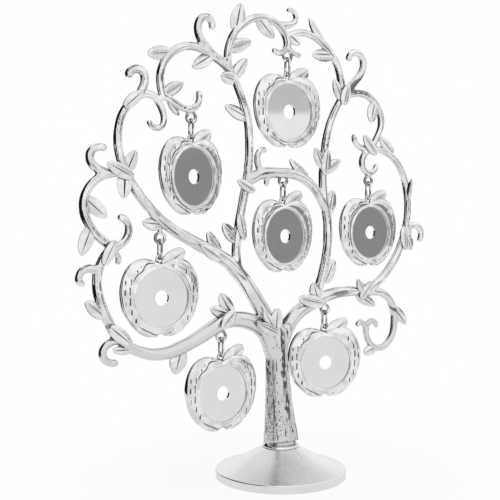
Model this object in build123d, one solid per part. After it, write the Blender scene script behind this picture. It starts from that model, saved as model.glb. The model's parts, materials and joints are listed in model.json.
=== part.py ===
from build123d import *
import os
from functools import cache, partial
from math import atan2, ceil, cos, degrees, radians, sin

# Photo tree stand: a plated metal tree on a turned base, with seven apple frames hung from its boughs.
# Millimetres, +Z up. The tree spreads in the XZ plane and shows its front to -Y. The origin is on the
# trunk's axis, on the surface that the felt pad rests on.

# Base
BASE_RADIUS = 40.0
RIM_HEIGHT = 5.5
RIM_ROUND = 0.8
BASE_HEIGHT = 18.5
SEAT_RADIUS = 11.6
FLARE_SAG = 1.0
FELT_RADIUS = 37.0
FELT_THICKNESS = 2.0
FELT_PROUD = 0.5

# Fixing screw
SCREW_RADIUS = 2.5
SCREW_LENGTH = 26.0
SCREW_HEAD_RADIUS = 4.5
SCREW_HEAD_HEIGHT = 3.0
WASHER_RADIUS = 6.0
WASHER_THICKNESS = 1.0
THREAD_CLEARANCE = 0.05
HEAD_ROOM = 1.0
WASHER_BORE_GAP = 0.3

# Trunk: height above the collar, sideways lean and radius at each station. Its foot is cut at a slant, so
# that it stands on the collar at the back and clears it in front.
COLLAR_RADIUS = 11.2
COLLAR_HEIGHT = 1.6
FOOT_SLANT = 14.0
FOOT_LIFT = 0.8
TRUNK_STATIONS = [
    (-1.0, 0.2, 10.7), (7.0, 0.0, 10.0), (16.0, -0.7, 9.0), (26.0, -1.4, 8.1), (38.0, -2.2, 7.3),
    (50.0, -2.9, 6.7), (60.0, -3.3, 6.5), (68.0, -3.5, 6.0), (73.0, -3.6, 4.2),
]

# Boughs: radius at the root, radius at the tip and the line (x, z) that the bough follows.
# Each one is cut back to the boughs named before it, so that it butts against them.
BOUGHS = {
    "lower_left_bough": (5.6, 2.7, [
        (-5, 76), (-8, 84), (-12.5, 90.5), (-18.5, 95), (-26, 97.8), (-34, 99), (-42, 97.8),
        (-51, 93.6), (-61, 88.8), (-71, 84.9), (-81, 82.6), (-90, 83), (-99, 86), (-106.5, 90.5)]),
    "mid_left_bough": (5.0, 2.3, [
        (-4.5, 80), (-7, 90), (-10.8, 98), (-15.5, 105.5), (-21, 113.5), (-27, 121.5), (-33.5, 128.7),
        (-40.5, 134.3), (-48, 138.7), (-57, 143), (-66, 147.4), (-75, 152.2), (-84, 158.6),
        (-92, 166.5), (-98.8, 175), (-104.5, 184.5)]),
    "lower_right_bough": (5.2, 2.6, [
        (-1.5, 76), (0.5, 84), (4.2, 91.5), (9.5, 97.6), (16, 102), (23, 105), (31, 108),
        (39, 110.2), (48, 111.4), (57, 111.5), (65, 110.9), (72, 110.2)]),
    "left_upright": (2.7, 2.2, [
        (-28, 124), (-31.6, 130.5), (-32.8, 138), (-32.2, 147), (-30.8, 155), (-29.2, 163),
        (-27.4, 171), (-25.5, 180), (-24, 190), (-23.3, 200), (-23.7, 209), (-25, 218),
        (-27.8, 227), (-32, 236.5), (-37.5, 246)]),
    "right_upright": (2.9, 2.2, [
        (27.5, 108.5), (29.8, 116.5), (32.6, 124.5), (34.8, 133), (36.2, 142), (36.5, 151),
        (35.6, 160), (33.6, 170), (32.5, 180), (32.6, 190), (33.4, 199), (35, 208.5),
        (38, 218.5), (42.2, 227), (46, 233), (49, 238)]),
    "cross_bough": (3.4, 2.5, [
        (-25, 182), (-18, 184.3), (-11, 185.9), (-4, 186.1), (3, 186.1), (10, 185.4), (17, 183),
        (23.5, 179), (29, 173.2), (34.5, 165)]),
    "lower_left_tip": (2.8, 2.4, [
        (-104.5, 89), (-110.5, 94.5), (-115, 102), (-118.6, 110), (-121.3, 118), (-122, 126),
        (-120.3, 133.5), (-116.8, 139.2), (-112.5, 143.2)]),
    "outer_left_bow": (2.4, 2.3, [
        (-113, 142.5), (-118.5, 147), (-123.5, 151.6), (-127.2, 157), (-129.2, 162.5), (-129.4, 168),
        (-127.8, 173), (-124.6, 177.5), (-120, 181), (-114.5, 182.8), (-108.5, 183.8), (-103, 183.6)]),
    "upper_left_bough": (2.4, 2.1, [
        (-103.5, 182), (-107.3, 190), (-109.2, 199), (-109, 206.5), (-107.5, 213), (-104.7, 218.5),
        (-100.8, 222.8), (-95.5, 226)]),
    "upper_left_scroll": (2.1, 1.5, [
        (-97, 225.2), (-91.5, 227.3), (-86.8, 226), (-83.4, 222), (-81.3, 217.5), (-80.8, 213),
        (-82.6, 209.7), (-86, 208.9), (-88.8, 210.2), (-89.8, 212.6)]),
    "left_arch": (2.4, 2.1, [
        (-35.5, 243.5), (-42.5, 249.2), (-50, 253.2), (-57, 255.7), (-64, 256.3), (-71, 254.5),
        (-77, 250.4), (-81.2, 244.5), (-83, 238), (-82.8, 231.5), (-81.5, 225)]),
    "top_left_arch": (2.3, 2.1, [
        (-36.5, 243), (-38.5, 249.5), (-38.3, 256), (-36.8, 261.5), (-33.8, 267), (-29.5, 271.5),
        (-24, 275.3), (-17.5, 277.8), (-11, 278.2), (-5, 276.5), (0, 273.2), (3.3, 268.5), (4.6, 262.5)]),
    "top_right_arch": (2.3, 2.0, [
        (48, 236.5), (46.6, 246), (44.8, 252.5), (41.7, 258.5), (37.3, 263.6), (31.5, 267.8),
        (25, 270.9), (18, 272.3), (11, 271.6), (4, 268.5)]),
    "right_arch": (2.4, 2.0, [
        (48, 234.5), (53.5, 237.4), (59, 238.8), (65.5, 238.8), (71.5, 236.6), (76.5, 232.5),
        (80, 227), (81, 221.5), (79.8, 216), (77, 210.8), (73.5, 205)]),
    "right_bow": (2.0, 2.3, [
        (69, 202), (75.5, 203.2), (82.5, 202.7), (89, 200.3), (95, 195.8), (99.8, 189.5),
        (103, 181.5), (104.8, 173), (105.2, 165), (104.6, 157), (102.8, 149.5)]),
    "right_bow_foot": (2.4, 2.8, [
        (103.6, 152), (101.2, 145), (98.2, 138.8), (94.5, 132.5), (90, 126.6), (84.6, 121),
        (78.4, 116.2), (70, 111.5)]),
    "right_scroll": (2.6, 2.2, [
        (69, 110.6), (76, 110.2), (82, 109.2), (87, 106.4), (91, 102), (93.2, 96), (93.7, 89.5)]),
    "right_scroll_end": (2.3, 1.7, [
        (93.5, 93), (93.5, 87), (92.2, 81.5), (89, 76.8), (84.4, 73.4), (79, 72.7), (74.2, 74.6),
        (70.6, 78.6), (68.8, 83.5), (68.6, 88.5)]),
}

# Tendrils: the same form as boughs, each ending in a blunt round tip.
TENDRILS = {
    "outer_left_tendrils": [
        (2.2, 1.9, [(-109, 92), (-114, 91.5), (-117.8, 89), (-119, 85.3), (-117.4, 82), (-114.4, 80.3),
                    (-112, 80)]),
        (2.3, 1.7, [(-120.5, 130.5), (-125, 131.9), (-129, 131.8), (-131.8, 129.6), (-132.5, 126.3),
                    (-130.9, 124)]),
        (2.3, 1.9, [(-112.5, 143), (-107.3, 145), (-103.8, 149), (-102.9, 153.8), (-104.6, 157.6),
                    (-107.6, 159.2)]),
        (1.7, 1.5, [(-114, 141.5), (-110.8, 139.6), (-109.2, 137.2), (-109.6, 135)]),
        (2.4, 2.0, [(-112.5, 183), (-119, 184.3), (-123.5, 187), (-125.8, 191), (-124.7, 194.8),
                    (-121.2, 196.9), (-118, 196.7)]),
    ],
    "upper_left_tendrils": [
        (2.4, 2.2, [(-98, 224.5), (-94.2, 230), (-92.7, 235), (-93.7, 238.8), (-97, 240.5),
                    (-100.4, 239.8), (-102.4, 237.4)]),
        (2.2, 1.7, [(-82, 227.5), (-76, 224.6), (-70, 221.6), (-65, 220.6), (-60.6, 222),
                    (-58, 225.6), (-58, 230)]),
        (2.6, 1.9, [(-47.5, 251), (-53.5, 257), (-57.4, 262), (-58.8, 267.3), (-57.3, 271.8),
                    (-53.4, 274), (-50, 272.4), (-49.2, 269)]),
    ],
    "top_tendrils": [
        (2.1, 1.3, [(-3, 275), (3.5, 275.6), (8.3, 277), (11, 280.3), (9.8, 283.8), (5.6, 285)]),
        (1.7, 1.5, [(3.4, 262.4), (0.8, 259), (-2.4, 258.3), (-5.2, 259.6)]),
        (1.7, 1.5, [(3.8, 265), (7.5, 260.6), (10.4, 259), (13.4, 258.6)]),
    ],
    "centre_tendrils": [
        (2.0, 1.6, [(-14, 185), (-17.2, 191.3), (-17.6, 195.6), (-15.8, 198.9), (-12.6, 199.6)]),
        (1.7, 1.4, [(-5, 186), (-9, 183.8), (-10.9, 181.2), (-10.8, 179.4)]),
    ],
    "upper_right_tendrils": [
        (2.7, 2.0, [(48.5, 235), (53.8, 241.5), (59, 246.5), (63.3, 251.5), (65.5, 257), (64.3, 261.8),
                    (60, 264.4), (55.6, 263.8), (53.2, 260.6)]),
        (2.1, 1.6, [(75, 206), (69, 204.4), (64, 204.2), (60.2, 206), (58.2, 208.8), (57.9, 211)]),
        (2.3, 1.6, [(72, 202.6), (67, 200), (64.8, 196), (65.2, 191.6), (68, 188.5), (72.2, 187.8),
                    (75.5, 189.8), (76.6, 192.4)]),
    ],
    "lower_right_tendrils": [
        (2.2, 1.9, [(102.5, 151.5), (108.5, 153.1), (113, 153.6), (116.6, 151.3), (117.9, 147.2),
                    (117, 144)]),
        (1.9, 1.5, [(69, 85), (66.6, 89.6), (63.8, 90.9), (61.6, 89.4)]),
        (1.9, 1.4, [(68.4, 85.5), (71.2, 90.2), (74.6, 90.9), (77.6, 87.8)]),
    ],
}
STATION_TURN = 16.0
STATION_PITCH = 11.0
FEWEST_SPANS = 8
BLUNT_TIP = (30, 60, 83)
BRAZE_GAP = 0.1
JOINT_REACH = 4.0

# Leaves: base (x, z), tip (x, z), width, how far the tip leans to the back, roll about the leaf's length
# and, for a leaf that lies on the front of a bough, how far its base stands before the tree's plane
LEAF_THICKNESS = 2.2
LEAF_EDGE = 0.7
LEAF_ROOT = 2.6
MIDRIB_WIDTH = 0.9
LEAVES = {
    "outer_left_leaves": [
        ((-112.6, 97.6), (-103.3, 89.9), 6.2, -1, 0, 3.0), ((-100.5, 87.4), (-115, 87), 4.2, -3, 10),
        ((-119, 107), (-130, 114.5), 6.6, -1, 10), ((-117.3, 138), (-112.9, 147.4), 5.4, -1, 0, 2.7),
        ((-126, 152.6), (-131, 139), 7.0, 1, 5), ((-127.5, 168.8), (-117, 159.2), 7.0, -2, 15),
        ((-104.2, 186), (-99.4, 196), 5.6, -2, -10), ((-105.5, 183.4), (-117.4, 189.2), 6.0, -1, -5, 2.5),
        ((-104.8, 182), (-106.6, 169.5), 7.0, -1, 20),
    ],
    "upper_left_leaves": [
        ((-103.3, 222.1), (-95.6, 228.8), 5.2, -1, 0, 2.5), ((-79.5, 251), (-92, 249.5), 7.0, -1, -10),
        ((-81, 228), (-68, 235.6), 6.4, 1, 15), ((-78, 225.5), (-69.6, 217), 4.6, 4, -20),
        ((-50, 252), (-62, 244), 6.4, 1, 20),
    ],
    "top_leaves": [
        ((-32.5, 270), (-30.4, 284.6), 7.6, -1, -15), ((-36, 258), (-21.8, 263.6), 7.0, 1, 15),
        ((-16.5, 276.8), (-6.4, 266.4), 6.6, -1, 15), ((-34.5, 241), (-26.8, 252.6), 6.6, -2, 10),
        ((-33, 240), (-45, 241.2), 6.2, -2, -15), ((-26, 218), (-40.4, 224.2), 6.6, 1, 15),
        ((29.5, 271), (21.4, 282), 6.4, 1, 20), ((39, 261), (23, 259.4), 7.2, 0, 15),
        ((6.2, 270.2), (11.2, 263.6), 4.6, -4, 15),
    ],
    "centre_leaves": [
        ((-31.6, 145), (-43, 155.2), 7.0, 0, 15), ((-31, 156.5), (-28.6, 145.6), 4.8, -1, 0, 2.4),
        ((-25.2, 176.5), (-34.7, 181.1), 5.0, -1, 10, 2.6), ((17, 185.5), (6.4, 194.6), 6.4, 1, 20),
        ((30.2, 192.8), (24.2, 202.3), 5.4, -1, -15, 1.0), ((35.5, 189.2), (45.6, 195.5), 6.4, -1, 10),
        ((32.8, 190), (33.4, 201.8), 5.2, -1, -10, 2.5), ((36.6, 163.4), (40.4, 176.4), 7.2, -0.5, -10),
        ((36, 121.3), (41.2, 132.6), 7.2, -0.5, -10), ((25.2, 108.6), (21.9, 119), 6.0, -1, -10, 2.4),
        ((25.2, 106), (9.5, 109.8), 6.6, -1, 0, 3.6),
    ],
    "lower_left_leaves": [
        ((-46, 139), (-53, 151.2), 6.8, 0, 15), ((-50, 137), (-60.4, 143.2), 5.4, -1, 0, 3.9),
        ((-79.5, 154.5), (-95, 156.2), 6.2, 0, 15), ((-36.5, 101.5), (-44, 115.2), 6.6, 0, -15),
        ((-39, 101.5), (-52.6, 106.6), 5.8, -2, 15), ((-71, 83.5), (-74.4, 70), 8.4, 0, 10),
        ((-7.6, 91), (-7.9, 105.1), 6.6, -4.5, -10, 3.0), ((-10.6, 94.4), (-18.3, 104.4), 5.2, -2.5, 0, 4.5),
        ((-9.8, 90.8), (-22.6, 96.6), 5.4, -2.5, -10, 5.0), ((-39.5, 101), (-47.2, 95), 6.4, -2.5, 0, 3.8),
    ],
    "upper_right_leaves": [
        ((44.8, 235.8), (39.3, 246), 5.2, -0.5, -10, 1.2), ((47.5, 234.3), (49.2, 243.4), 6.2, -1, 0, 2.8),
        ((75, 234.2), (70.8, 220.4), 6.4, -1, 15), ((71.8, 203.1), (62.6, 212.3), 5.4, -1, 0, 2.3),
        ((80.2, 210.6), (88.3, 202.6), 5.4, -1, 10, 0.8), ((104.8, 171.3), (107.3, 185.1), 5.6, -1, 25, 0.5),
        ((99.6, 148.5), (100.4, 136.8), 5.2, -1, 10, 2.6), ((101.8, 148), (107.2, 137), 6.0, -1, 15, 0.8),
        ((103.5, 151), (100.4, 159.6), 4.4, -1, 0, 2.4),
    ],
    "lower_right_leaves": [
        ((63.3, 111.9), (58.3, 119.6), 5.0, -1, 0, 2.2), ((64.2, 110), (70.4, 117.7), 5.4, -1, 0, 2.8),
        ((63.7, 107.5), (74.6, 101), 6.0, -1, 15, 0.6), ((95, 97), (103.5, 87.2), 5.6, -1, 20),
        ((76, 73.5), (64.8, 70), 5.4, -2, 15),
    ],
}

# Hangers: place along the tree (x), height of the bough's line there, drop to the eyelet's centre and
# how far the apple stands turned about the vertical
HANGERS = {
    "left": (-83.6, 158.4, 10.6, 0),
    "lower_left": (-43.2, 97.4, 7.8, 2),
    "upper_left": (-63.2, 220.8, 4.8, 15),
    "top": (4.7, 262.4, 5.4, 0),
    "centre": (1.5, 186.1, 4.8, 8),
    "right": (70.2, 188.0, 5.2, 3),
    "lower_right": (34.2, 108.9, 8.0, -15),
}
EYELET_RADIUS = 2.9
EYELET_WIRE = 0.95
SHANK_RADIUS = 1.4
LINK_WIRE = 0.7
LINK_HALF_WIDTH = 2.05
LINK_LENGTH = 6.9
LOOP_RADIUS = 2.2
LOOP_WIRE = 0.75

# Apple frame: the border's width outside the bead, by angle from the right-hand side
WINDOW_RADIUS = 16.5
BEAD_WIRE = 0.6
FRAME_THICKNESS = 6.0
BORDER = [
    (90, 1.6), (79, 3.8), (66, 6.9), (49, 9.2), (32, 9.1), (13, 8.0), (-7, 6.7), (-27, 6.1),
    (-47, 5.7), (-64, 5.7), (-77, 4.8), (-90, 2.4),
]
CROWN_STEPS = [
    (-1.0, 0.4), (-0.78, 0.76), (-0.42, 0.95), (0.0, 1.0), (0.42, 0.95), (0.78, 0.76), (1.0, 0.4),
]
LOOP_SINK = 0.65
APPLE_LEAF_BASE = (3.2, 20.2)
APPLE_LEAF_TIP = (15.4, 27.4)
APPLE_LEAF_WIDTH = 7.2
DASH_WIDTH = 0.7
DASH_DEPTH = 0.5
DASHES = [
    (19.2, 9.6, 2.6), (20.0, 4.6, 4.2), (19.9, -1.2, 4.0), (19.0, -7.0, 3.0), (22.4, 9.2, 2.2),
    (22.8, 3.8, 2.8), (15.4, 14.6, 2.4), (16.4, -11.8, 2.2),
]

# Backing disc
DISC_THICKNESS = 1.5
DISC_LEDGE = 0.7
DISC_CLEARANCE = 0.05
RECESS_DEPTH = 0.8
PUSH_HOLE_RADIUS = 4.3


def near(beads, others):
    """True where two rows of beads, each a place and a radius, come within a joint's reach."""
    return any(
        (place - other_place).length < radius + other_radius + JOINT_REACH
        for place, radius in beads
        for other_place, other_radius in others
    )


def butted(piece, beads, standing):
    """The piece cut back to the pieces that already stand, without crumbs on their far side."""
    for other_beads, clearance_form in standing:
        if near(beads, other_beads):
            left = (piece - clearance_form(BRAZE_GAP)).solids()
            piece = max(left, key=lambda solid: solid.volume)
    return piece


def limb_beads(route, root_radius, tip_radius, blunt):
    """Stations of a limb along a smooth line through its route: place, heading and radius."""
    line = Spline(*[(x, 0, z) for x, z in route])
    headings = [atan2(z2 - z1, x2 - x1) for (x1, z1), (x2, z2) in zip(route, route[1:])]
    turn = sum(abs(degrees(atan2(sin(b - a), cos(b - a)))) for a, b in zip(headings, headings[1:]))
    spans = max(FEWEST_SPANS, ceil(turn / STATION_TURN), ceil(line.length / STATION_PITCH))
    stations = []
    for step in range(spans + 1):
        along = step / spans
        radius = root_radius + (tip_radius - root_radius) * along
        stations.append((line.position_at(along), line.tangent_at(along), radius))
    if blunt:
        end, heading, _ = stations[-1]
        for angle in BLUNT_TIP:
            forward = heading * (tip_radius * sin(radians(angle)))
            stations.append((end + forward, heading, tip_radius * cos(radians(angle))))
    return stations


def limb(stations, grow=0.0):
    """The round solid through a limb's stations, thicker all round by grow."""
    wires = [
        Wire.make_circle(radius + grow, Plane(origin=place, x_dir=(0, 1, 0), z_dir=heading))
        for place, heading, radius in stations
    ]
    return Solid.make_loft(wires)


def leaf_blade(plane, length, width, grow=0.0):
    """A pointed oval blade along the plane's X, thickest at a flat midrib on both faces."""
    rib = MIDRIB_WIDTH / width
    ridge = LEAF_THICKNESS / 2 + grow
    edge = LEAF_EDGE / 2 + grow
    wires = []
    for height, spread in ((-ridge, rib), (-edge, 1), (edge, 1), (ridge, rib)):
        side = width / 2 * spread + grow
        start = (-grow, 0, height)
        end = (length + grow, 0, height)
        upper = ThreePointArc(start, (length / 2, side, height), end)
        lower = ThreePointArc(end, (length / 2, -side, height), start)
        wires.append(Wire([upper.edge(), lower.edge()]))
    return plane * Solid.make_loft(wires, ruled=True)


def leaf_frame(base, tip, lean, roll, stand=0.0):
    """Plane of one leaf of the tree and its length, its root sunk past the base into its limb."""
    along = Vector(tip[0] - base[0], lean, tip[1] - base[1])
    root = Vector(base[0], -stand, base[1]) - along.normalized() * LEAF_ROOT
    facing = Vector(0, -1, 0)
    upright = facing - along * (facing.dot(along) / along.dot(along))
    rolled = upright.rotate(Axis((0, 0, 0), along), roll)
    return Plane(origin=root, x_dir=along, z_dir=rolled), along.length + LEAF_ROOT


def ring(centre, radius, wire):
    """A closed wire ring that stands in the XZ plane."""
    return Pos(*centre) * Rot(90, 0, 0) * Torus(radius, wire).solid()


# Heights and places that follow from the sizes above
base_bottom = FELT_PROUD
collar_bottom = BASE_HEIGHT
trunk_bottom = collar_bottom + COLLAR_HEIGHT
head_top = FELT_THICKNESS + HEAD_ROOM + SCREW_HEAD_HEIGHT
washer_top = head_top + WASHER_THICKNESS
screw_hole = SCREW_RADIUS + THREAD_CLEARANCE
bead_centre_radius = WINDOW_RADIUS + BEAD_WIRE
bead_outer_radius = bead_centre_radius + BEAD_WIRE
frame_front = -FRAME_THICKNESS / 2
disc_front = frame_front + RECESS_DEPTH
disc_back = disc_front + DISC_THICKNESS
disc_radius = WINDOW_RADIUS + DISC_LEDGE
loop_height = bead_outer_radius + BORDER[0][1] + LOOP_RADIUS + LOOP_WIRE - LOOP_SINK


def base_foot():
    """Turned foot: a low rim, a hollow cone up to the trunk's seat, and a dished underside."""
    top = (SEAT_RADIUS, BASE_HEIGHT)
    rim_edge = (BASE_RADIUS - RIM_ROUND, RIM_HEIGHT)
    flare = SagittaArc(rim_edge, top, FLARE_SAG)
    rim = RadiusArc((BASE_RADIUS, RIM_HEIGHT - RIM_ROUND), rim_edge, -RIM_ROUND)
    sides = Polyline(
        top, (0, BASE_HEIGHT), (0, base_bottom), (BASE_RADIUS, base_bottom),
        (BASE_RADIUS, RIM_HEIGHT - RIM_ROUND),
    )
    foot = revolve(Plane.XZ * make_face([flare, rim, sides]), Axis.Z)
    dish = Cylinder(FELT_RADIUS, FELT_THICKNESS, align=(Align.CENTER, Align.CENTER, Align.MIN))
    head_well = Cylinder(
        WASHER_RADIUS + WASHER_BORE_GAP, washer_top, align=(Align.CENTER, Align.CENTER, Align.MIN))
    hole = Cylinder(screw_hole, BASE_HEIGHT, align=(Align.CENTER, Align.CENTER, Align.MIN))
    return foot - dish - head_well - hole


def base_felt():
    """Felt pad glued into the dish under the foot."""
    return Cylinder(FELT_RADIUS, FELT_THICKNESS, align=(Align.CENTER, Align.CENTER, Align.MIN))


def screw_washer():
    """Plain washer between the screw's head and the roof of its well."""
    low = (Align.CENTER, Align.CENTER, Align.MIN)
    return Pos(0, 0, head_top) * (
        Cylinder(WASHER_RADIUS, WASHER_THICKNESS, align=low)
        - Cylinder(screw_hole, WASHER_THICKNESS, align=low)
    )


def trunk_screw():
    """Pan-headed screw from under the foot up into the trunk."""
    low = (Align.CENTER, Align.CENTER, Align.MIN)
    head_bottom = head_top - SCREW_HEAD_HEIGHT
    head = Pos(0, 0, head_bottom) * Cylinder(SCREW_HEAD_RADIUS, SCREW_HEAD_HEIGHT, align=low)
    shank = Pos(0, 0, head_top) * Cylinder(SCREW_RADIUS, SCREW_LENGTH, align=low)
    return head + shank


def trunk_form(grow=0.0):
    """The trunk's leaning taper, thicker all round by grow."""
    return Solid.make_loft([
        Wire.make_circle(radius + grow, Plane(origin=(lean, 0, trunk_bottom + height), x_dir=(1, 0, 0)))
        for height, lean, radius in TRUNK_STATIONS
    ])


def trunk():
    """The tapered trunk, cut at a slant at its foot, on a flat collar, bored for the screw."""
    low = (Align.CENTER, Align.CENTER, Align.MIN)
    upward = (0, sin(radians(FOOT_SLANT)), cos(radians(FOOT_SLANT)))
    foot_cut = Plane(origin=(0, 0, trunk_bottom + FOOT_LIFT), z_dir=upward)
    stem = split(trunk_form(), bisect_by=foot_cut, keep=Keep.TOP)
    collar = Pos(0, 0, collar_bottom) * Cylinder(COLLAR_RADIUS, COLLAR_HEIGHT, align=low)
    bore_depth = head_top + SCREW_LENGTH - collar_bottom
    bore = Pos(0, 0, collar_bottom) * Cylinder(screw_hole, bore_depth, align=low)
    return (stem + collar - bore).solid()


def eyelet(x, bough_height, drop, grow=0.0):
    """Cast ring on a short shank that runs up to the bough's line, thicker all round by grow."""
    centre_height = bough_height - drop
    shank = Pos(x, 0, centre_height + EYELET_RADIUS) * Cylinder(
        SHANK_RADIUS + grow, drop - EYELET_RADIUS, align=(Align.CENTER, Align.CENTER, Align.MIN))
    return (ring((x, 0, centre_height), EYELET_RADIUS, EYELET_WIRE + grow) + shank).solid()


def hanger_link(x, eyelet_height):
    """Oval wire link in the YZ plane, round the eyelet's lowest wire and down to the apple's loop."""
    top = eyelet_height - EYELET_RADIUS
    section = Plane(origin=(x, LINK_HALF_WIDTH, top), x_dir=(0, 1, 0), z_dir=(0, 0, 1)) * Circle(LINK_WIRE)
    arch = revolve(section, Axis((x, 0, top), (1, 0, 0)), 180)
    front = Pos(x, -LINK_HALF_WIDTH, top - LINK_LENGTH / 2) * Cylinder(LINK_WIRE, LINK_LENGTH)
    back = Pos(x, LINK_HALF_WIDTH, top - LINK_LENGTH / 2) * Cylinder(LINK_WIRE, LINK_LENGTH)
    middle = Plane(origin=(x, 0, top - LINK_LENGTH / 2))
    return (arch + front + back + mirror(arch, about=middle)).solid()


def apple_section(depth, share):
    """Outline of the apple at one depth, with the given share of the border's width."""
    right = [
        (
            (bead_outer_radius + width * share) * cos(radians(angle)),
            depth,
            (bead_outer_radius + width * share) * sin(radians(angle)),
        )
        for angle, width in BORDER
    ]
    left = [(-x, y, z) for x, y, z in reversed(right)]
    return Wire([Spline(*right).edge(), Spline(*left).edge()])


def crowned_border(shrink=0.0):
    """Solid apple with a crowned edge, or the same drawn in all over by the shrink."""
    half = FRAME_THICKNESS / 2 - shrink
    steps = [(half * level, share - shrink / BORDER[3][1]) for level, share in CROWN_STEPS]
    return Solid.make_loft([apple_section(depth, share) for depth, share in steps])


def apple_frame():
    """Cast frame about the window's centre: border, bead, hanging loop, leaf and engraved dashes."""
    body = crowned_border()
    bead = ring((0, frame_front, 0), bead_centre_radius, BEAD_WIRE)
    loop = ring((0, 0, loop_height), LOOP_RADIUS, LOOP_WIRE)
    along = Vector(APPLE_LEAF_TIP[0] - APPLE_LEAF_BASE[0], 0, APPLE_LEAF_TIP[1] - APPLE_LEAF_BASE[1])
    blade_plane = Plane(origin=(APPLE_LEAF_BASE[0], 0, APPLE_LEAF_BASE[1]), x_dir=along, z_dir=(0, -1, 0))
    blade = leaf_blade(blade_plane, along.length, APPLE_LEAF_WIDTH)
    core = crowned_border(DASH_DEPTH)
    cutters = [
        Pos(side * x, frame_front, z) * Box(DASH_WIDTH, FRAME_THICKNESS, length)
        for x, z, length in DASHES
        for side in (-1, 1)
    ]
    window = Rot(90, 0, 0) * Cylinder(WINDOW_RADIUS, 3 * FRAME_THICKNESS)
    seat_bore = Rot(90, 0, 0) * Cylinder(disc_radius, 2 * FRAME_THICKNESS)
    seat = Pos(0, disc_front + FRAME_THICKNESS, 0) * seat_bore
    grooves = [cutter - core for cutter in cutters]
    return (body + bead + loop + blade - grooves - window - seat).solid()


def backing_disc():
    """Round plate pressed in behind the window, with a hole to push the photo out."""
    plate = Cylinder(disc_radius - DISC_CLEARANCE, DISC_THICKNESS)
    push_hole = Cylinder(PUSH_HOLE_RADIUS, DISC_THICKNESS)
    return Pos(0, disc_front + DISC_THICKNESS / 2, 0) * Rot(90, 0, 0) * (plate - push_hole)


def write(name, *solids):
    """One STEP file for a node, as one solid or as a group of separate ones."""
    export_step(solids[0] if len(solids) == 1 else Compound(children=list(solids)), f"parts/{name}.step")


os.makedirs("parts", exist_ok=True)

write("base_foot", base_foot())
write("base_felt", base_felt())
write("screw_washer", screw_washer())
write("trunk_screw", trunk_screw())

write("trunk", trunk())
trunk_beads = [(Vector(lean, 0, trunk_bottom + height), radius) for height, lean, radius in TRUNK_STATIONS]
standing = [(trunk_beads, cache(trunk_form))]


def grown_limb(root_radius, tip_radius, route, blunt):
    """One bough or tendril cut back to what stands, which then counts as standing itself."""
    stations = limb_beads(route, root_radius, tip_radius, blunt)
    beads = [(place, radius) for place, _, radius in stations]
    piece = butted(limb(stations), beads, standing)
    standing.append((beads, cache(partial(limb, stations))))
    return piece


for name, (root_radius, tip_radius, route) in BOUGHS.items():
    write(name, grown_limb(root_radius, tip_radius, route, blunt=False))

for name, shoots in TENDRILS.items():
    write(name, *[grown_limb(*shoot, blunt=True) for shoot in shoots])

eyelets = []
for x, bough_height, drop, _ in HANGERS.values():
    beads = [(Vector(x, 0, bough_height), SHANK_RADIUS), (Vector(x, 0, bough_height - drop), EYELET_RADIUS)]
    eyelets.append(butted(eyelet(x, bough_height, drop), beads, standing))
    standing.append((beads, cache(partial(eyelet, x, bough_height, drop))))
write("hanger_eyelets", *eyelets)

for name, blades in LEAVES.items():
    made = []
    for base, tip, width, lean, roll, *stand in blades:
        plane, length = leaf_frame(base, tip, lean, roll, *stand)
        beads = [(plane.origin + plane.x_dir * length * share, width / 2) for share in (0, 0.5, 1)]
        made.append(butted(leaf_blade(plane, length, width), beads, standing))
        standing.append((beads, cache(partial(leaf_blade, plane, length, width))))
    write(name, *made)

frame = apple_frame()
disc = backing_disc()
for name, (x, bough_height, drop, turn) in HANGERS.items():
    eyelet_height = bough_height - drop
    loop_top = eyelet_height - EYELET_RADIUS - LINK_LENGTH
    place = Pos(x, 0, loop_top - LOOP_RADIUS - loop_height) * Rot(0, 0, turn)
    write(f"{name}_link", hanger_link(x, eyelet_height))
    write(f"{name}_apple_frame", place * frame)
    write(f"{name}_apple_disc", place * disc)
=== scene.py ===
import json
from math import cos, pi, radians, sin

import bmesh
import bpy
import numpy as np
from mathutils import Matrix, Vector, kdtree, noise

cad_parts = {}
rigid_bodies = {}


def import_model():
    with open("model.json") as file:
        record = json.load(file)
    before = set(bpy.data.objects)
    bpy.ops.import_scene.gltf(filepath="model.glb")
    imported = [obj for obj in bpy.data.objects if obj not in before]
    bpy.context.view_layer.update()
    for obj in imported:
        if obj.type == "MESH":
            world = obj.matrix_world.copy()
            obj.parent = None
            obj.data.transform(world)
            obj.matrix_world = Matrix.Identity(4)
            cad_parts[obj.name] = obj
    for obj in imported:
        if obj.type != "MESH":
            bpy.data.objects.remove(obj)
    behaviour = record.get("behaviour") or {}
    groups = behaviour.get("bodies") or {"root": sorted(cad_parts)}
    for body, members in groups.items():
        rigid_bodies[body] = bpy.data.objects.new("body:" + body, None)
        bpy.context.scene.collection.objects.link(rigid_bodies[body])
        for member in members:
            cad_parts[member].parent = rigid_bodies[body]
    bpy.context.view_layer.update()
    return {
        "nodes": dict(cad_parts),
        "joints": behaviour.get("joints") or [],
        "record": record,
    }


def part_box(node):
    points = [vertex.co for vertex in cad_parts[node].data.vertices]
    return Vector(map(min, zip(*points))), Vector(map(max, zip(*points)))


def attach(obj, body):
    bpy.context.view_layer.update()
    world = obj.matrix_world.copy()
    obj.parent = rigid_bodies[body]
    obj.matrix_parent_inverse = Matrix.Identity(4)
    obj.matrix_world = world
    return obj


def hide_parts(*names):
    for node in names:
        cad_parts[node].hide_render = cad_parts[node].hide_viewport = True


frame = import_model()

# Camera.
# It stands well left of the tree's front, just over half as high as the tree, and looks slightly down.
MM = 0.001
CAMERA_PLACE = Vector((-329.2, -453.1, 161.0)) * MM
CAMERA_TURN = radians(34.07)
CAMERA_DIP = radians(2.23)
LENS = 66.04
SENSOR = 36.0

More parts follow.
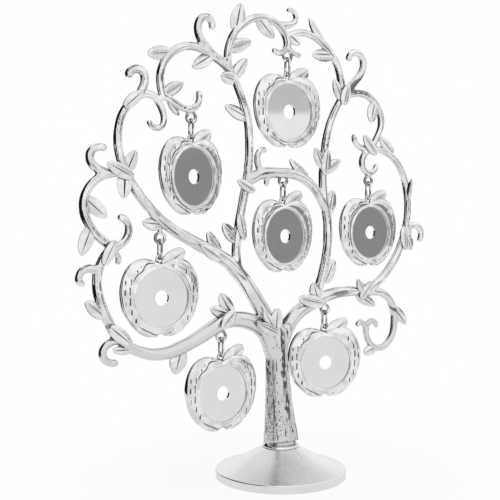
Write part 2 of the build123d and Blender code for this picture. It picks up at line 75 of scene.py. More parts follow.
camera_data = bpy.data.cameras.new("camera")
camera_data.lens = LENS
camera_data.sensor_width = SENSOR
camera = bpy.data.objects.new("camera", camera_data)
camera.location = CAMERA_PLACE
aim = Vector((sin(CAMERA_TURN) * cos(CAMERA_DIP), cos(CAMERA_TURN) * cos(CAMERA_DIP), -sin(CAMERA_DIP)))
camera.rotation_euler = aim.to_track_quat("-Z", "Y").to_euler()
bpy.context.scene.collection.objects.link(camera)
bpy.context.scene.camera = camera
bpy.context.scene.view_settings.view_transform = "Standard"


# Studio.
# A white room with a pale floor that keeps the shadow near the foot. Bright metal shows what is round it: a
# wide dark doorway on the left and behind, a low grey wall with a shelf in front, a dim patch of ceiling.
class Tone:
    """A socket in a node tree. Arithmetic on it adds Math nodes, and make() adds any other node."""

    def __init__(self, tree, socket=None):
        self.tree = tree
        self.socket = socket

    def make(self, kind, values=None, output=0, **settings):
        """A new node: its settings first, then a value or a link for each socket that is named."""
        node = self.tree.nodes.new("ShaderNode" + kind)
        for name, setting in settings.items():
            setattr(node, name, setting)
        for name, value in (values or {}).items():
            if isinstance(value, Tone):
                self.tree.links.new(value.socket, node.inputs[name])
            else:
                node.inputs[name].default_value = value
        return Tone(self.tree, node.outputs[output] if node.outputs else None)

    def math(self, operation, *values):
        """A Math node on this socket and the given values."""
        return self.make("Math", dict(enumerate((self, *values))), operation=operation)

    def between(self, low, high):
        """0 up to the low value, 1 from the high one, with a soft slope between them."""
        limits = {"From Min": low, "From Max": high}
        return self.make("MapRange", {"Value": self, **limits}, interpolation_type="SMOOTHSTEP")

    def band(self, rise, fall):
        """1 between two soft slopes, and 0 outside them."""
        return self.between(*rise) * (1 - self.between(*fall))

    def mix(self, first, second):
        """A colour from first to second as this socket goes from 0 to 1."""
        return self.make("Mix", {0: self, 6: first, 7: second}, 2, data_type="RGBA")

    def __add__(self, other):
        return self.math("ADD", other)

    def __sub__(self, other):
        return self.math("SUBTRACT", other)

    def __rsub__(self, other):
        return self.make("Math", {0: other, 1: self}, operation="SUBTRACT")

    def __mul__(self, other):
        return self.math("MULTIPLY", other)

    __radd__ = __add__
    __rmul__ = __mul__


WHITE = (1.0, 1.0, 1.0, 1.0)
BLACK = (0.0, 0.0, 0.0, 1.0)
ROOM_LEVEL = 0.74
DOOR_DARK = 0.99
DOOR_SIDES = (radians(-74), radians(-69)), (radians(26), radians(31))
DOOR_ENDS = (-0.2, -0.1), (0.85, 0.96)
DOOR_SILL = 0.24, 0.36
WALL_DARK = 0.7
WALL_SIDES = (radians(-61), radians(-57)), (radians(-22), radians(-18))
WALL_TOP = 0.072, 0.078
SHELF_DARK = 0.38
SHELF = (0.106, 0.112), (0.14, 0.3)
PATCH_DARK = 0.3
PATCH_SIDES = (radians(20), radians(27)), (radians(60), radians(112))
PATCH_ENDS = (0.52, 0.6), (0.9, 0.95)


def metal_sees(tone):
    """1 for what the camera sees and what metal or glass shows of it."""
    glossy = tone.make("LightPath", output="Is Glossy Ray")
    through = tone.make("LightPath", output="Is Transmission Ray")
    return tone.make("LightPath", output="Is Camera Ray").math("MAXIMUM", glossy).math("MAXIMUM", through)


world = bpy.data.worlds.new("room")
world.use_nodes = True
world.node_tree.nodes.clear()
room = Tone(world.node_tree)
towards = room.make("TexCoord")
right, back, height = (room.make("SeparateXYZ", {0: towards}, axis) for axis in range(3))
from_right = back.math("ARCTAN2", right)
from_left = (0 - back).math("ARCTAN2", 0 - right)
door = from_left.band(*DOOR_SIDES) * height.band(*DOOR_ENDS)
patch = from_right.band(*PATCH_SIDES) * height.band(*PATCH_ENDS)
wall = (1 - height.between(*WALL_TOP)) * WALL_DARK + height.band(*SHELF) * SHELF_DARK
wall = wall * from_right.band(*WALL_SIDES)
dark = (door * DOOR_DARK).math("MAXIMUM", wall).math("MAXIMUM", patch * PATCH_DARK)
plain = metal_sees(room) * (1 - ROOM_LEVEL) + ROOM_LEVEL
shaded = 1 - dark * (1 - room.make("LightPath", output="Is Camera Ray"))
backdrop = room.make("Background", {"Color": WHITE, "Strength": plain * shaded})
room.make("OutputWorld", {"Surface": backdrop})
bpy.context.scene.world = world

FLOOR_RADIUS = 2.3
FLOOR_SIDES = 96
FLOOR_COLOUR = (0.9, 0.9, 0.9, 1.0)
FLOOR_GLOW = 0.92
FLOOR_DIM = 0.11
SHADOW_REACH = (0.05, 0.2)
floor_work = bmesh.new()
bmesh.ops.create_circle(floor_work, cap_ends=True, radius=FLOOR_RADIUS, segments=FLOOR_SIDES)
floor_mesh = bpy.data.meshes.new("floor")
floor_work.to_mesh(floor_mesh)
floor_work.free()
floor = bpy.data.objects.new("floor", floor_mesh)
bpy.context.scene.collection.objects.link(floor)
floor_paint = bpy.data.materials.new("floor_paint")
floor_paint.use_nodes = True
floor_paint.node_tree.nodes.clear()
paint = Tone(floor_paint.node_tree)
place = paint.make("TexCoord", output="Object")
from_foot = paint.make("VectorMath", {0: place}, "Value", operation="LENGTH")
right, back = (paint.make("SeparateXYZ", {0: place}, axis) for axis in range(2))
from_left = (0 - back).math("ARCTAN2", 0 - right)
in_doorway = from_left.band(*DOOR_SIDES) * from_foot.between(*DOOR_SILL) * DOOR_DARK
matt = paint.make("BsdfDiffuse", {"Color": FLOOR_COLOUR})
lit = 1 - in_doorway.math("MAXIMUM", FLOOR_DIM) * (1 - paint.make("LightPath", output="Is Camera Ray"))
glow = paint.make("Emission", {"Color": lit.mix(BLACK, WHITE)})
share = from_foot.between(*SHADOW_REACH) * (1 - FLOOR_GLOW) + FLOOR_GLOW
surface = paint.make("MixShader", {0: metal_sees(paint) * share, 1: matt, 2: glow})
paint.make("OutputMaterial", {"Surface": surface})
floor_mesh.materials.append(floor_paint)

LAMP_AIM = Vector((0, 0, 0.15))
LAMPS = {
    "key_lamp": ((-1.1, -0.35, 0.75), 0.5, 1.3),
    "fill_lamp": ((1.0, -0.6, 1.1), 0.5, 0.9),
    "top_lamp": ((0.0, -0.1, 1.4), 0.7, 2.0),
}
for lamp_name, (lamp_place, lamp_size, power) in LAMPS.items():
    lamp_data = bpy.data.lights.new(lamp_name, "AREA")
    lamp_data.size = lamp_size
    lamp_data.energy = power
    lamp = bpy.data.objects.new(lamp_name, lamp_data)
    lamp.location = lamp_place
    lamp.visible_glossy = False
    lamp.rotation_euler = (LAMP_AIM - lamp.location).to_track_quat("-Z", "Y").to_euler()
    bpy.context.scene.collection.objects.link(lamp)


# Foot.
# A turned metal foot with a satin finish. Fine rings from the lathe run round it, and they spread its
# highlights into wedges.
def new_finish(name):
    """An empty material, its node tree and the place on the surface, in metres."""
    made = bpy.data.materials.new(name)
    made.use_nodes = True
    made.node_tree.nodes.clear()
    tone = Tone(made.node_tree)
    return made, tone, tone.make("TexCoord", output="Object")


def cloud(tone, place, scale, detail=3.0, **values):
    """Noise on the surface, with about that many lumps to a metre."""
    return tone.make("TexNoise", {"Vector": place, "Scale": scale, "Detail": detail, **values})


def stretched(tone, place, shares):
    """The place with each of its coordinates multiplied by its own share."""
    return tone.make("VectorMath", {0: place, 1: shares}, operation="MULTIPLY")


def close_finish(tone, colour, roughness, height, depth, metallic=1.0, **plain_values):
    """Ends a material in a Principled shader, with relief from a height tone of that depth in metres."""
    bump = tone.make("Bump", {"Height": height, "Strength": 1.0, "Distance": depth})
    values = {"Base Color": colour, "Roughness": roughness, "Metallic": metallic, "Normal": bump}
    surface = tone.make("BsdfPrincipled", {**values, **plain_values})
    tone.make("OutputMaterial", {"Surface": surface})


def dress(material, *nodes):
    """Gives CAD nodes their finish."""
    for node in nodes:
        mesh = frame["nodes"][node].data
        mesh.materials.clear()
        mesh.materials.append(material)


FOOT_PALE = (0.86, 0.86, 0.87, 1.0)
FOOT_DULL = (0.79, 0.79, 0.8, 1.0)
FOOT_ROUGH = 0.2
RING_PITCH = 0.35 * MM
RING_DEPTH = 0.005 * MM
foot_satin, tone, place = new_finish("foot_satin")
flat_place = stretched(tone, place, (1.0, 1.0, 0.0))
radius = tone.make("VectorMath", {0: flat_place}, "Value", operation="LENGTH")
rings = tone.make("TexNoise", {"W": radius * (1 / RING_PITCH), "Scale": 1.0, "Detail": 2.0},
                  noise_dimensions="1D")
clouds = cloud(tone, place, 60.0)
close_finish(
    tone,
    (rings * 0.4 + clouds * 0.6).between(0.35, 0.65).mix(FOOT_DULL, FOOT_PALE),
    clouds * 0.08 + rings * 0.06 + FOOT_ROUGH,
    rings, RING_DEPTH, Anisotropic=0.2,
)
dress(foot_satin, "base_foot")

# Underside.
# A dark felt pad glued into the dish, and a zinc-plated screw and washer above it that hold the trunk.
FELT_DARK = (0.03, 0.03, 0.032, 1.0)
FELT_GREY = (0.11, 0.11, 0.115, 1.0)
FELT_ROUGH = 0.86
NAP_DEPTH = 0.2 * MM
felt_nap, tone, place = new_finish("felt_nap")
fibres = cloud(tone, place, 1400.0, 4.0, Distortion=1.5)
patches = cloud(tone, place, 120.0, 2.0)
close_finish(
    tone,
    (fibres * 0.7 + patches * 0.3).between(0.3, 0.7).mix(FELT_DARK, FELT_GREY),
    fibres * 0.1 + FELT_ROUGH,
    fibres, NAP_DEPTH, metallic=0.0, **{"Sheen Weight": 0.4},
)
dress(felt_nap, "base_felt")

ZINC_DULL = (0.46, 0.47, 0.49, 1.0)
ZINC_PALE = (0.66, 0.66, 0.68, 1.0)
ZINC_ROUGH = 0.25
SPANGLE_DEPTH = 0.01 * MM
zinc, tone, place = new_finish("zinc")
spangle = cloud(tone, place, 420.0)
close_finish(
    tone,
    spangle.between(0.35, 0.65).mix(ZINC_DULL, ZINC_PALE),
    spangle * 0.2 + ZINC_ROUGH,
    spangle, SPANGLE_DEPTH,
)
dress(zinc, "screw_washer", "trunk_screw")

# Trunk, boughs and tendrils.
# One bright-plated casting: a rough, pitted trunk that forks into boughs with a fine grain along them, and
# hooked tendrils that flow out of the boughs. Its joints are rounded, and a core stands on the collar.
SKIN_VOXEL = 0.67 * MM
FILLET_STRENGTH = 0.5
FILLET_PASSES = 6
MERGE_REACH = 0.001 * MM
COLLAR_TOP = 21.5 * MM, 23.5 * MM
CORE_RADIUS = 7.2 * MM
CORE_ENDS = 19.6 * MM, 26.0 * MM
CORE_SIDES = 48
# How much weaker the painted crevice shade is on the collar and the core.
CORE_SHADE_CUT = 0.4

# Relief, with heights and depths in millimetres. A pattern gives lumps to a millimetre, but the grain's runs
# round a limb by angle, and the fine grain's is a multiple of it. Edges are where a mark starts and is full.
SKIN_SWELL = 0.32
GRAIN_EVEN = 10
GRAIN_ALONG = 0.055
GRAIN_SLANT = 0.5
GRAIN_ROUND = 3.4
GRAIN_EDGES = (0.22, 0.4)
GRAIN_DEPTH = 0.13
GRAIN_TONE = 0.75
FINE_PATTERN = (2.1, 2.3, 2.1)
FINE_EDGES = (0.28, 0.46)
FINE_DEPTH = 0.065
FINE_TONE = 0.6
LUMP_PATTERN = 0.16
LUMP_DEPTH = 0.14
FISSURE_PATTERN = (0.5, 0.5, 0.03)
FISSURE_EDGES = (0.075, 0.01)
FISSURE_DEPTH = 0.34
PIT_PATTERN = (1.3, 1.3, 0.8)
PIT_EDGES = (0.2, 0.5)
PIT_DEPTH = 0.14
PIT_TONE = 0.4
BARK_FOOT = (20.6, 22.0)
BARK_TOP = (88.0, 118.0)
PITTED_FOOT = (22.0, 34.0)
PITTED_TOP = (40.0, 72.0)
PITTED_LEAST = 0.5
# The scar is a sunk streak down the trunk's front, and its dark colour is painted shade for that side.
SCAR_ENDS = (26.0, 44.0), (86.0, 100.0)
SCAR_ANGLE = -pi / 2
SCAR_SPREAD = 0.22
SCAR_EDGES = (0.15, 0.6)
SCAR_BREAKS = (1.3, 1.3, 0.3)
BREAK_EDGES = (-0.35, 0.1)
TRUNK_AXIS = (20.0, 0.0), (93.0, -3.6)
TRUNK_RADIUS = 8.0

slot_of = {part["node"]: part["material_slot"] for part in frame["record"]["subparts"]}
casting_nodes = [
    node for node, slot in slot_of.items() if slot in ("crown", "bark") and node != "hanger_eyelets"
]


def joined_mesh(name, nodes):
    """One mesh with copies of CAD nodes, its doubled points merged."""
    work = bmesh.new()
    for node in nodes:
        work.from_mesh(frame["nodes"][node].data)
    bmesh.ops.remove_doubles(work, verts=work.verts, dist=MERGE_REACH)
    mesh = bpy.data.meshes.new(name)
    work.to_mesh(mesh)
    work.free()
    return mesh


def added(name, mesh):
    """A new object with that mesh."""
    piece = bpy.data.objects.new(name, mesh)
    bpy.context.scene.collection.objects.link(piece)
    return piece


def cast_skin(name, solids, voxel, passes):
    """One closed skin over a mesh of solids, even and softly rounded, as a casting's is."""
    piece = added(name, solids)
    skin = piece.modifiers.new("skin", "REMESH")
    skin.mode = "VOXEL"
    skin.voxel_size = voxel
    fillet = piece.modifiers.new("fillet", "SMOOTH")
    fillet.factor = FILLET_STRENGTH
    fillet.iterations = passes
    graph = bpy.context.evaluated_depsgraph_get()
    mesh = bpy.data.meshes.new_from_object(piece.evaluated_get(graph))
    piece.modifiers.clear()
    piece.data = mesh
    mesh.shade_smooth()
    return piece


def evened(mesh, values, passes):
    """Three numbers for each of a mesh's points, replaced in each pass by the mean of its neighbours'."""
    ends = np.empty(len(mesh.edges) * 2, np.int32)
    mesh.edges.foreach_get("vertices", ends)
    here = np.concatenate((ends[0::2], ends[1::2]))
    there = np.concatenate((ends[1::2], ends[0::2]))
    count = np.bincount(here, minlength=len(values))
    for _ in range(passes):
        sums = [np.bincount(here, values[there, axis], len(count)) for axis in range(3)]
        values = np.column_stack(sums) / count[:, None]
    return values


def points_of(mesh):
    """A mesh's points in millimetres."""
    flat = np.empty(len(mesh.vertices) * 3, np.float32)
    mesh.vertices.foreach_get("co", flat)
    return flat.reshape(-1, 3).astype(float) / MM


def normals_of(mesh):
    """A mesh's smooth normals at its points."""
    flat = np.empty(len(mesh.vertices) * 3, np.float32)
    mesh.vertex_normals.foreach_get("vector", flat)
    return flat.reshape(-1, 3).astype(float)


def move_points(mesh, points):
    """Puts a mesh's points where they are given in millimetres."""
    mesh.vertices.foreach_set("co", (points * MM).astype(np.float32).ravel())
    mesh.update()


def ruffle(places, seed=0.0):
    """Smooth noise, about -1 to 1, at each place. Each seed gives another pattern."""
    return np.array([noise.noise(place) for place in places + seed])


def eased(values, low, high):
    """0 up to low, 1 from high, and a soft slope between them."""
    share = np.clip((values - low) / (high - low), 0, 1)
    return share * share * (3 - 2 * share)


def store(mesh, name, values):
    """Keeps one number for each of a mesh's points, for its finish to read."""
    attribute = mesh.attributes.new(name, "FLOAT", "POINT")
    attribute.data.foreach_set("value", values.astype(np.float32))


tree_solids = joined_mesh("tree_casting", casting_nodes)
core = bmesh.new()
core.from_mesh(tree_solids)
core_place = Matrix.Translation((0, 0, sum(CORE_ENDS) / 2))
bmesh.ops.create_cone(core, cap_ends=True, segments=CORE_SIDES, radius1=CORE_RADIUS, radius2=CORE_RADIUS,
                      depth=CORE_ENDS[1] - CORE_ENDS[0], matrix=core_place)
core.to_mesh(tree_solids)
core.free()
casting = cast_skin("tree_casting", tree_solids, SKIN_VOXEL, FILLET_PASSES)
points = points_of(casting.data)
normals = normals_of(casting.data)
x, y, z = points.T
facing = evened(casting.data, normals, GRAIN_EVEN)
facing /= np.linalg.norm(facing, axis=1)[:, None]
round_limb = np.arccos(np.clip(-facing[:, 1], -1, 1))
along = np.c_[
    x * GRAIN_ALONG + facing[:, 0] * GRAIN_SLANT,
    round_limb * GRAIN_ROUND,
    z * GRAIN_ALONG + facing[:, 2] * GRAIN_SLANT,
]
grain = eased(ruffle(along), *GRAIN_EDGES)
fine_grain = eased(ruffle(along * FINE_PATTERN, seed=37.0), *FINE_EDGES)
lumps = ruffle(points * LUMP_PATTERN)

(low_z, low_x), (high_z, high_x) = TRUNK_AXIS
lean = low_x + (z - low_z) * (high_x - low_x) / (high_z - low_z)
round_trunk = np.arctan2(y, x - lean)
unrolled = np.c_[np.cos(round_trunk) * TRUNK_RADIUS, np.sin(round_trunk) * TRUNK_RADIUS, z]
# The scar is sunk relief. The grooves and specks it adds below also paint shade on the trunk's front.
scar_and_shade = np.exp(-(((round_trunk - SCAR_ANGLE) / SCAR_SPREAD) ** 2))
scar_and_shade *= eased(z, *SCAR_ENDS[0])
scar_and_shade *= 1 - eased(z, *SCAR_ENDS[1])
fissures = eased(np.abs(ruffle(unrolled * FISSURE_PATTERN, seed=11.0)), *FISSURE_EDGES)
broken = eased(ruffle(unrolled * SCAR_BREAKS, seed=23.0), *BREAK_EDGES)
fissures = np.maximum(fissures, eased(scar_and_shade, *SCAR_EDGES) * broken)
pitted = PITTED_LEAST + (1 - PITTED_LEAST) * eased(z, *PITTED_FOOT)
pitted = np.maximum((1 - eased(z, *PITTED_TOP)) * pitted, scar_and_shade)
pits = eased(ruffle(unrolled * PIT_PATTERN, seed=5.0), *PIT_EDGES) * pitted
bark = (1 - eased(z, *BARK_TOP)) * eased(z, *BARK_FOOT)
groove = np.maximum(GRAIN_TONE * grain, FINE_TONE * fine_grain) * (1 - bark)
groove += np.maximum(fissures, PIT_TONE * pits) * bark
sink = (GRAIN_DEPTH * grain + FINE_DEPTH * fine_grain) * (1 - bark)
sink += np.maximum(FISSURE_DEPTH * fissures, PIT_DEPTH * pits) * bark
raised = points + normals * (LUMP_DEPTH * lumps - sink + SKIN_SWELL)[:, None]
move_points(casting.data, raised)
store(casting.data, "groove", groove)
store(casting.data, "bark", bark)
store(casting.data, "pitted", bark * pitted)

PLATE_PALE = (0.89, 0.89, 0.895, 1.0)
PLATE_DULL = (0.73, 0.73, 0.74, 1.0)
PLATE_DEEP = (0.12, 0.12, 0.123, 1.0)
# Black of the bark's pits, and of the painted shade in crevices.
PIT_AND_SHADE_BLACK = (0.05, 0.05, 0.052, 1.0)
# Painted shade in crevices between pieces, from ambient occlusion: its reach, samples, edges and strength.
CREVICE_REACH = 1.3 * MM
CREVICE_SAMPLES = 6
CREVICE_EDGES = 0.25, 0.85
CREVICE_SHADE = 0.85
PLATE_GRAIN_DEPTH = 0.05 * MM


def stored(tone, name):
    """The number that a mesh keeps under that name for each of its points."""
    return tone.make("Attribute", output="Fac", attribute_name=name)


def plated(tone, polish, deep, crevice_shade_strength):
    """Plate that is bright where polished, nearly black where deep, with painted shade in crevices between
    pieces.
    """
    # Ambient occlusion gives the painted shade in crevices.
    openness = tone.make("AmbientOcclusion", {"Distance": CREVICE_REACH}, "AO", samples=CREVICE_SAMPLES)
    crevice_shade = 1 - openness.between(*CREVICE_EDGES)
    face = deep.mix(polish.mix(PLATE_DULL, PLATE_PALE), PLATE_DEEP)
    return (crevice_shade * crevice_shade_strength).mix(face, PIT_AND_SHADE_BLACK)


plating, tone, place = new_finish("plated_casting")
on_bark = stored(tone, "bark")
speckle = cloud(tone, stretched(tone, place, (1.0, 1.0, 0.6)), 1900.0, 1.0)
tarnish = cloud(tone, place, 90.0)
speck = cloud(tone, place, 900.0)
# Dark specks in the bark's pits. Where they crowd along the scar, they are painted shade.
specks = speckle.between(0.54, 0.66) * stored(tone, "pitted") * 0.75
# On the collar and the core the grooves are left out and the painted crevice shade is weaker.
at_collar = 1 - tone.make("SeparateXYZ", {0: place}, "Z").between(*COLLAR_TOP)
deep = stored(tone, "groove").between(0.2, 0.9)
polish = tarnish.between(0.4, 0.62) * (1 - on_bark)
plate = plated(tone, polish, deep * (1 - at_collar), CREVICE_SHADE - at_collar * CORE_SHADE_CUT)
close_finish(
    tone,
    specks.mix(plate, PIT_AND_SHADE_BLACK),
    tarnish * 0.02 + deep * 0.12 + on_bark * 0.2 + 0.02,
    speck * 0.4 + tarnish * 0.3 - specks * 1.2, PLATE_GRAIN_DEPTH,
)
casting.data.materials.append(plating)
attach(casting, "tree")
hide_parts(*casting_nodes)

# Leaves.
# Pointed oval leaves cast with the boughs: two rounded halves with a sunk midrib and faint side veins.
LEAF_STATIONS = 24
LEAF_ACROSS = 9
LEAF_FULLNESS = 1.12
LEAF_ROOT_SHARE = 0.07
LEAF_BLUNTNESS = 0.6
LEAF_TIP_HALF_WIDTH = 0.12
LEAF_SINK = 1.6
LEAF_CURL = 2.6
LEAF_CURL_MIDDLE = 0.45
LEAF_EDGE = 0.7
LEAF_EDGE_START = 0.85
LEAF_CROWN = 0.95
LEAF_CROWN_FLATNESS = 1.7
LEAF_BACK_SHARE = 0.7
LEAF_CREASE = radians(48)
RIB_SPREAD = 0.1
RIB_DEPTH = 0.6
VEINS = 6
VEIN_SLANT = 1.6
VEIN_SHARPNESS = 6
VEIN_DEPTH = 0.14
VEIN_TONE = 0.45
# Painted shade that darkens each leaf's rims, front and back.
RIM_SHADE = 0.6
leaf_groups = [node for node, slot in slot_of.items() if slot == "leaf"]

limbs = kdtree.KDTree(len(raised))
for index, point in enumerate(raised):
    limbs.insert(point, index)
limbs.balance()


def islands(mesh):
    """The separate solids of a mesh, each as its points in millimetres."""
    work = bmesh.new()
    work.from_mesh(mesh)
    bmesh.ops.remove_doubles(work, verts=work.verts, dist=MERGE_REACH)
    left = set(work.verts)
    groups = []
    for start in work.verts:
        if start not in left:
            continue
        left.discard(start)
        edge = [start]
        group = []
        while edge:
            vertex = edge.pop()
            group.append(vertex.co / MM)
            for link in vertex.link_edges:
                other = link.other_vert(vertex)
                if other in left:
                    left.discard(other)
                    edge.append(other)
        groups.append(np.array(group))
    work.free()
    return groups


def leaf_axes(solid):
    """Root, direction to the tip, direction across, face direction, length and half width of a leaf."""
    middle = solid.mean(0)
    _, _, (length_axis, width_axis, face) = np.linalg.svd(solid - middle, full_matrices=False)
    reach = (solid - middle) @ length_axis
    ends = [middle + length_axis * reach.min(), middle + length_axis * reach.max()]
    if limbs.find(ends[0])[2] > limbs.find(ends[1])[2]:
        ends.reverse()
    if face[1] > 0:
        face = -face
    root, tip = ends
    length = np.linalg.norm(tip - root)
    direction = (tip - root) / length
    half_width = np.abs((solid - middle) @ width_axis).max() * LEAF_FULLNESS
    return root, direction, np.cross(face, direction), face, length, half_width


def leaf_rings(root, direction, across, face, length, half_width):
    """Rings of points from a leaf's sunk root to its tip, darker on its midrib and veins, with painted shade
    at its rims.
    """
    rings = []
    depths = []
    full = length + LEAF_SINK
    for step in range(LEAF_STATIONS + 1):
        share = step / LEAF_STATIONS
        bulge = sin(pi * (LEAF_ROOT_SHARE + (1 - LEAF_ROOT_SHARE) * share ** 0.9))
        swell = max(0.0, bulge) ** LEAF_BLUNTNESS
        wide = half_width * swell + LEAF_TIP_HALF_WIDTH
        curl = LEAF_CURL * (share - LEAF_CURL_MIDDLE) ** 2
        middle = root + direction * (share * full - LEAF_SINK) + face * curl
        front = []
        for place in range(-LEAF_ACROSS, LEAF_ACROSS + 1):
            side = place / LEAF_ACROSS
            rib = np.exp(-((side / RIB_SPREAD) ** 2))
            vein = 0.5 + 0.5 * cos(2 * pi * (VEINS * share - VEIN_SLANT * abs(side)))
            vein = vein ** VEIN_SHARPNESS * (1 - rib) * (1 - abs(side)) * swell
            crown = LEAF_EDGE * swell ** 0.5 + LEAF_CROWN * swell * (1 - abs(side) ** LEAF_CROWN_FLATNESS)
            crown -= RIB_DEPTH * swell * rib + VEIN_DEPTH * vein
            # The midrib and veins are darker, and the dark rims are painted shade.
            depth = max(rib * swell, VEIN_TONE * vein, RIM_SHADE * eased(abs(side), LEAF_EDGE_START, 1.0))
            front.append((middle + across * (side * wide) + face * crown, depth))
        back = [
            (spot - face * ((1 + LEAF_BACK_SHARE) * (spot - middle) @ face), depth)
            for spot, depth in reversed(front)
        ]
        rings.append([spot for spot, _ in front + back])
        depths.append([depth for _, depth in front + back])
    return rings, depths


def leaf_mesh(name, blades):
    """Leaves as closed meshes, each from its axes."""
    spots, faces, depths = [], [], []
    for blade in blades:
        rings, ring_depths = leaf_rings(*blade)
        start = len(spots)
        count = len(rings[0])
        for ring, ring_depth in zip(rings, ring_depths):
            spots.extend(ring)
            depths.extend(ring_depth)
        for step in range(len(rings) - 1):
            low = start + step * count
            for place in range(count):
                after = (place + 1) % count
                faces.append((low + place, low + after, low + count + after, low + count + place))
        faces.append(tuple(range(start + count - 1, start - 1, -1)))
        last = start + (len(rings) - 1) * count
        faces.append(tuple(range(last, last + count)))
    mesh = bpy.data.meshes.new(name)
    mesh.from_pydata([tuple(spot * MM) for spot in spots], [], faces)
    mesh.shade_smooth()
    mesh.set_sharp_from_angle(angle=LEAF_CREASE)
    store(mesh, "groove", np.array(depths))
    return mesh


leaf_plating, tone, place = new_finish("plated_leaf")
speck = cloud(tone, place, 800.0)
tarnish = cloud(tone, place, 160.0, 2.0)
# Darker on the midrib, the veins and tarnished patches, with painted shade at the rims.
deep = stored(tone, "groove").between(0.15, 0.9) * 0.85 + tarnish.between(0.5, 0.75) * 0.15
close_finish(
    tone,
    plated(tone, tarnish.between(0.4, 0.6), deep, CREVICE_SHADE),
    tarnish * 0.06 + deep * 0.1 + 0.04,
    speck * 0.6 + tarnish * 0.4, PLATE_GRAIN_DEPTH,
)
for group in leaf_groups:
    blades = [leaf_axes(solid) for solid in islands(frame["nodes"][group].data)]
    leaves = added("cast_" + group, leaf_mesh("cast_" + group, blades))
    leaves.data.materials.append(leaf_plating)
    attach(leaves, "tree")
    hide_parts(group)

# Eyelets and links.
# The eyelets are rings cast with the boughs. Each link is an oval of bright wire, bent shut round its eyelet
# and the loop of its apple.
# Strength of the painted shade in the wire's crevices.
WIRE_CREVICE_SHADE = 0.75
WIRE_DEPTH = 0.25 * MM
wire_bright, tone, place = new_finish("bright_wire")
drawn = cloud(tone, place, 700.0)
worn = cloud(tone, place, 260.0, 2.0)
close_finish(
    tone,
    plated(tone, drawn.between(0.4, 0.6), worn.between(0.46, 0.56) * 0.75, WIRE_CREVICE_SHADE),
    worn * 0.06 + 0.02,
    drawn * 0.5 + worn * 0.5, WIRE_DEPTH,
)
hangers = [joint["child"].removesuffix("_link") for joint in frame["joints"] if joint["parent"] == "tree"]
dress(wire_bright, "hanger_eyelets", *[hanger + "_link" for hanger in hangers])

# Apple frames.
# Bright-plated castings, all from one mould: a rolled border with a wavy ridge on the shoulder, dents and
# short engraved dashes, a bead round the window, a hanging loop, and a leaf that grows from the stalk.
APPLE_VOXEL = 0.29 * MM
APPLE_PASSES = 2
# Strength of the painted shade in the apple's crevices.
APPLE_CREVICE_SHADE = 0.45
BORDER_START = 17.9, 18.8
BORDER_TURN = -0.1, 0.35
PAST_BEAD = 18.6, 19.4
HOLLOW_PASSES = 16
HOLLOW_EDGES = 0.04, 0.12
DENT_PATTERN = (0.3, 0.3, 0.16)
DENT_DEPTH = 0.12
RIDGE_RADIUS = 21.4
RIDGE_WAVE = 2.0
RIDGE_WAVINESS = 3.6
RIDGE_HEIGHT = 0.42
RIDGE_SPREAD = 0.5
VALLEY_SHARE = 0.8
VALLEY_INSET = 0.9
VALLEY_SPREAD = 0.4
RIDGE_SPANS = ((2.2, 0.5), (-1.75, 0.55))

# Each dash, in millimetres: how far it is to either side of the window's middle, its height and its length.
DASHES = (
    (15.4, 14.6, 3.0), (19.2, 9.6, 3.4), (20.0, 4.6, 4.6), (19.9, -1.2, 4.6), (19.0, -7.0, 3.8),
    (16.4, -11.8, 3.2), (22.4, 9.2, 3.2), (22.8, 3.8, 3.8), (22.4, -2.6, 3.2),
)
DASH_WIDTH = 0.27
DASH_TONE = 0.6
DASH_SINK = 0.2
DASH_END = 0.15
DASH_TURN = 0.2, 0.5
APPLE_LEAF_ROOT = np.array((2.8, 1.2, 18.0))
APPLE_LEAF_TIP = np.array((15.4, 1.2, 26.2))
APPLE_LEAF_HALF_WIDTH = 5.0
BACK_TURN = 0.5, 0.9
BACK_DULL = 0.4
BACK_MATT = 0.5


def at_back(tone):
    """1 on the plain backs of apples and discs, and 0 on their fronts and sides."""
    facing = tone.make("TexCoord", output="Normal")
    return tone.make("SeparateXYZ", {0: facing}, "Y").between(*BACK_TURN)


def hollows(mesh, passes):
    """How deep each point of a mesh lies below its neighbours' mean, in millimetres."""
    points = points_of(mesh)
    return ((evened(mesh, points, passes) - points) * normals_of(mesh)).sum(1)


turn_of = {joint["child"]: radians(-sum(joint["range_deg"]) / 2) for joint in frame["joints"]}


def apple_place(hanger):
    """Middle of a hanger's window in millimetres, and the apple's own axes: sideways, rearward and up."""
    low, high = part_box(hanger + "_apple_disc")
    turn = turn_of[hanger + "_apple"]
    axes = np.array(((cos(turn), sin(turn), 0.0), (-sin(turn), cos(turn), 0.0), (0.0, 0.0, 1.0)))
    return np.array((low + high) / 2) / MM, axes


apple_plating, tone, place = new_finish("plated_apple")
hammered = cloud(tone, place, 190.0, 2.0)
speck = cloud(tone, place, 900.0)
deep = stored(tone, "groove").between(0.1, 0.8)
rear = at_back(tone)
close_finish(
    tone,
    plated(tone, hammered.between(0.4, 0.6), deep, APPLE_CREVICE_SHADE),
    hammered * 0.06 + deep * 0.1 + rear * BACK_DULL + 0.05,
    hammered * 0.8 + speck * 0.2, PLATE_GRAIN_DEPTH, metallic=1 - rear * BACK_MATT,
)

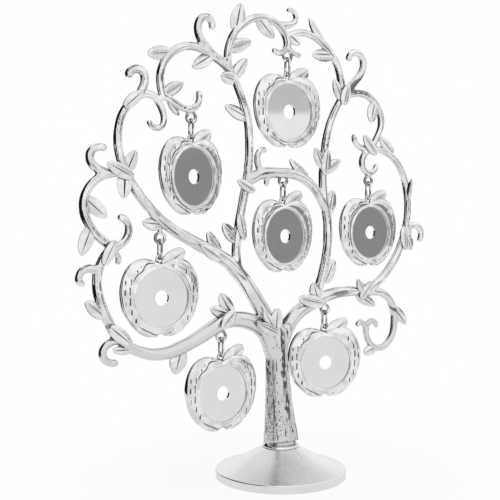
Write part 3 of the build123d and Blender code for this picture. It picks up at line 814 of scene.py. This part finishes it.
mould_solid = joined_mesh("apple_mould", [hangers[0] + "_apple_frame"])
mould = cast_skin("apple_mould", mould_solid, APPLE_VOXEL, APPLE_PASSES)
middle, axes = apple_place(hangers[0])
points = points_of(mould.data)
normals = normals_of(mould.data)
local = (points - middle) @ axes.T
reach = np.hypot(local[:, 0], local[:, 2])
around = np.arctan2(local[:, 2], local[:, 0])
to_front = -(normals @ axes[1])
on_border = eased(reach, *BORDER_START) * eased(to_front, *BORDER_TURN)
ring = np.c_[np.cos(around) * RIDGE_WAVINESS, np.sin(around) * RIDGE_WAVINESS, np.zeros(len(around))]
off_ridge = reach - (RIDGE_RADIUS + RIDGE_WAVE * ruffle(ring, seed=3.0))
ridge = np.exp(-((off_ridge / RIDGE_SPREAD) ** 2))
ridge -= VALLEY_SHARE * np.exp(-(((off_ridge + VALLEY_INSET) / VALLEY_SPREAD) ** 2))
ridge *= sum(np.exp(-(((around - centre) / spread) ** 2)) for centre, spread in RIDGE_SPANS)
dents = ruffle(local * DENT_PATTERN, seed=19.0)
dashes = np.zeros(len(local))
for dash_side, dash_height, dash_length in DASHES:
    off_line = np.abs(local[:, 0]) - dash_side
    to_end = dash_length / 2 - np.abs(local[:, 2] - dash_height)
    dash = np.exp(-((off_line / DASH_WIDTH) ** 2)) * eased(to_end, -DASH_END, DASH_END)
    dashes = np.maximum(dashes, dash)
dashes *= eased(to_front, *DASH_TURN)
lift = on_border * (RIDGE_HEIGHT * ridge + DENT_DEPTH * dents - DASH_SINK * dashes)
cast = local + (normals @ axes.T) * lift[:, None]
move_points(mould.data, cast)
sunk = eased(hollows(mould.data, HOLLOW_PASSES), *HOLLOW_EDGES) * eased(reach, *PAST_BEAD)
store(mould.data, "groove", np.maximum(sunk, DASH_TONE * dashes))
mould.data.materials.append(apple_plating)

for hanger in hangers:
    apple = hanger + "_apple"
    middle, axes = apple_place(hanger)
    border = added("cast_" + apple, mould.data.copy())
    move_points(border.data, middle + cast @ axes)
    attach(border, apple)
    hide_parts(apple + "_frame")

    root = middle + APPLE_LEAF_ROOT @ axes
    tip = middle + APPLE_LEAF_TIP @ axes
    length = np.linalg.norm(tip - root)
    direction = (tip - root) / length
    face = -axes[1]
    blade = (root, direction, np.cross(face, direction), face, length, APPLE_LEAF_HALF_WIDTH)
    leaf = added(apple + "_leaf", leaf_mesh(apple + "_leaf", [blade]))
    leaf.data.materials.append(leaf_plating)
    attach(leaf, apple)
bpy.data.objects.remove(mould)

# Backing discs.
# Flat plated sheet behind each window, rolled to a soft mirror in front and left dull at the back, with a
# hole to push the photo out.
SHEET_PALE = (0.82, 0.82, 0.83, 1.0)
SHEET_DULL = (0.77, 0.77, 0.78, 1.0)
SHEET_ROUGH = 0.015
SHEET_DEPTH = 0.0008 * MM
disc_mirror, tone, place = new_finish("rolled_sheet")
rolled = cloud(tone, stretched(tone, place, (1.0, 1.0, 0.06)), 2600.0, 2.0)
haze = cloud(tone, place, 70.0)
rear = at_back(tone)
close_finish(
    tone,
    (haze * 0.6 + rolled * 0.4).between(0.35, 0.65).mix(SHEET_DULL, SHEET_PALE),
    haze * 0.02 + rolled * 0.02 + rear * BACK_DULL + SHEET_ROUGH,
    rolled, SHEET_DEPTH, metallic=1 - rear * BACK_MATT,
)
dress(disc_mirror, *[hanger + "_apple_disc" for hanger in hangers])
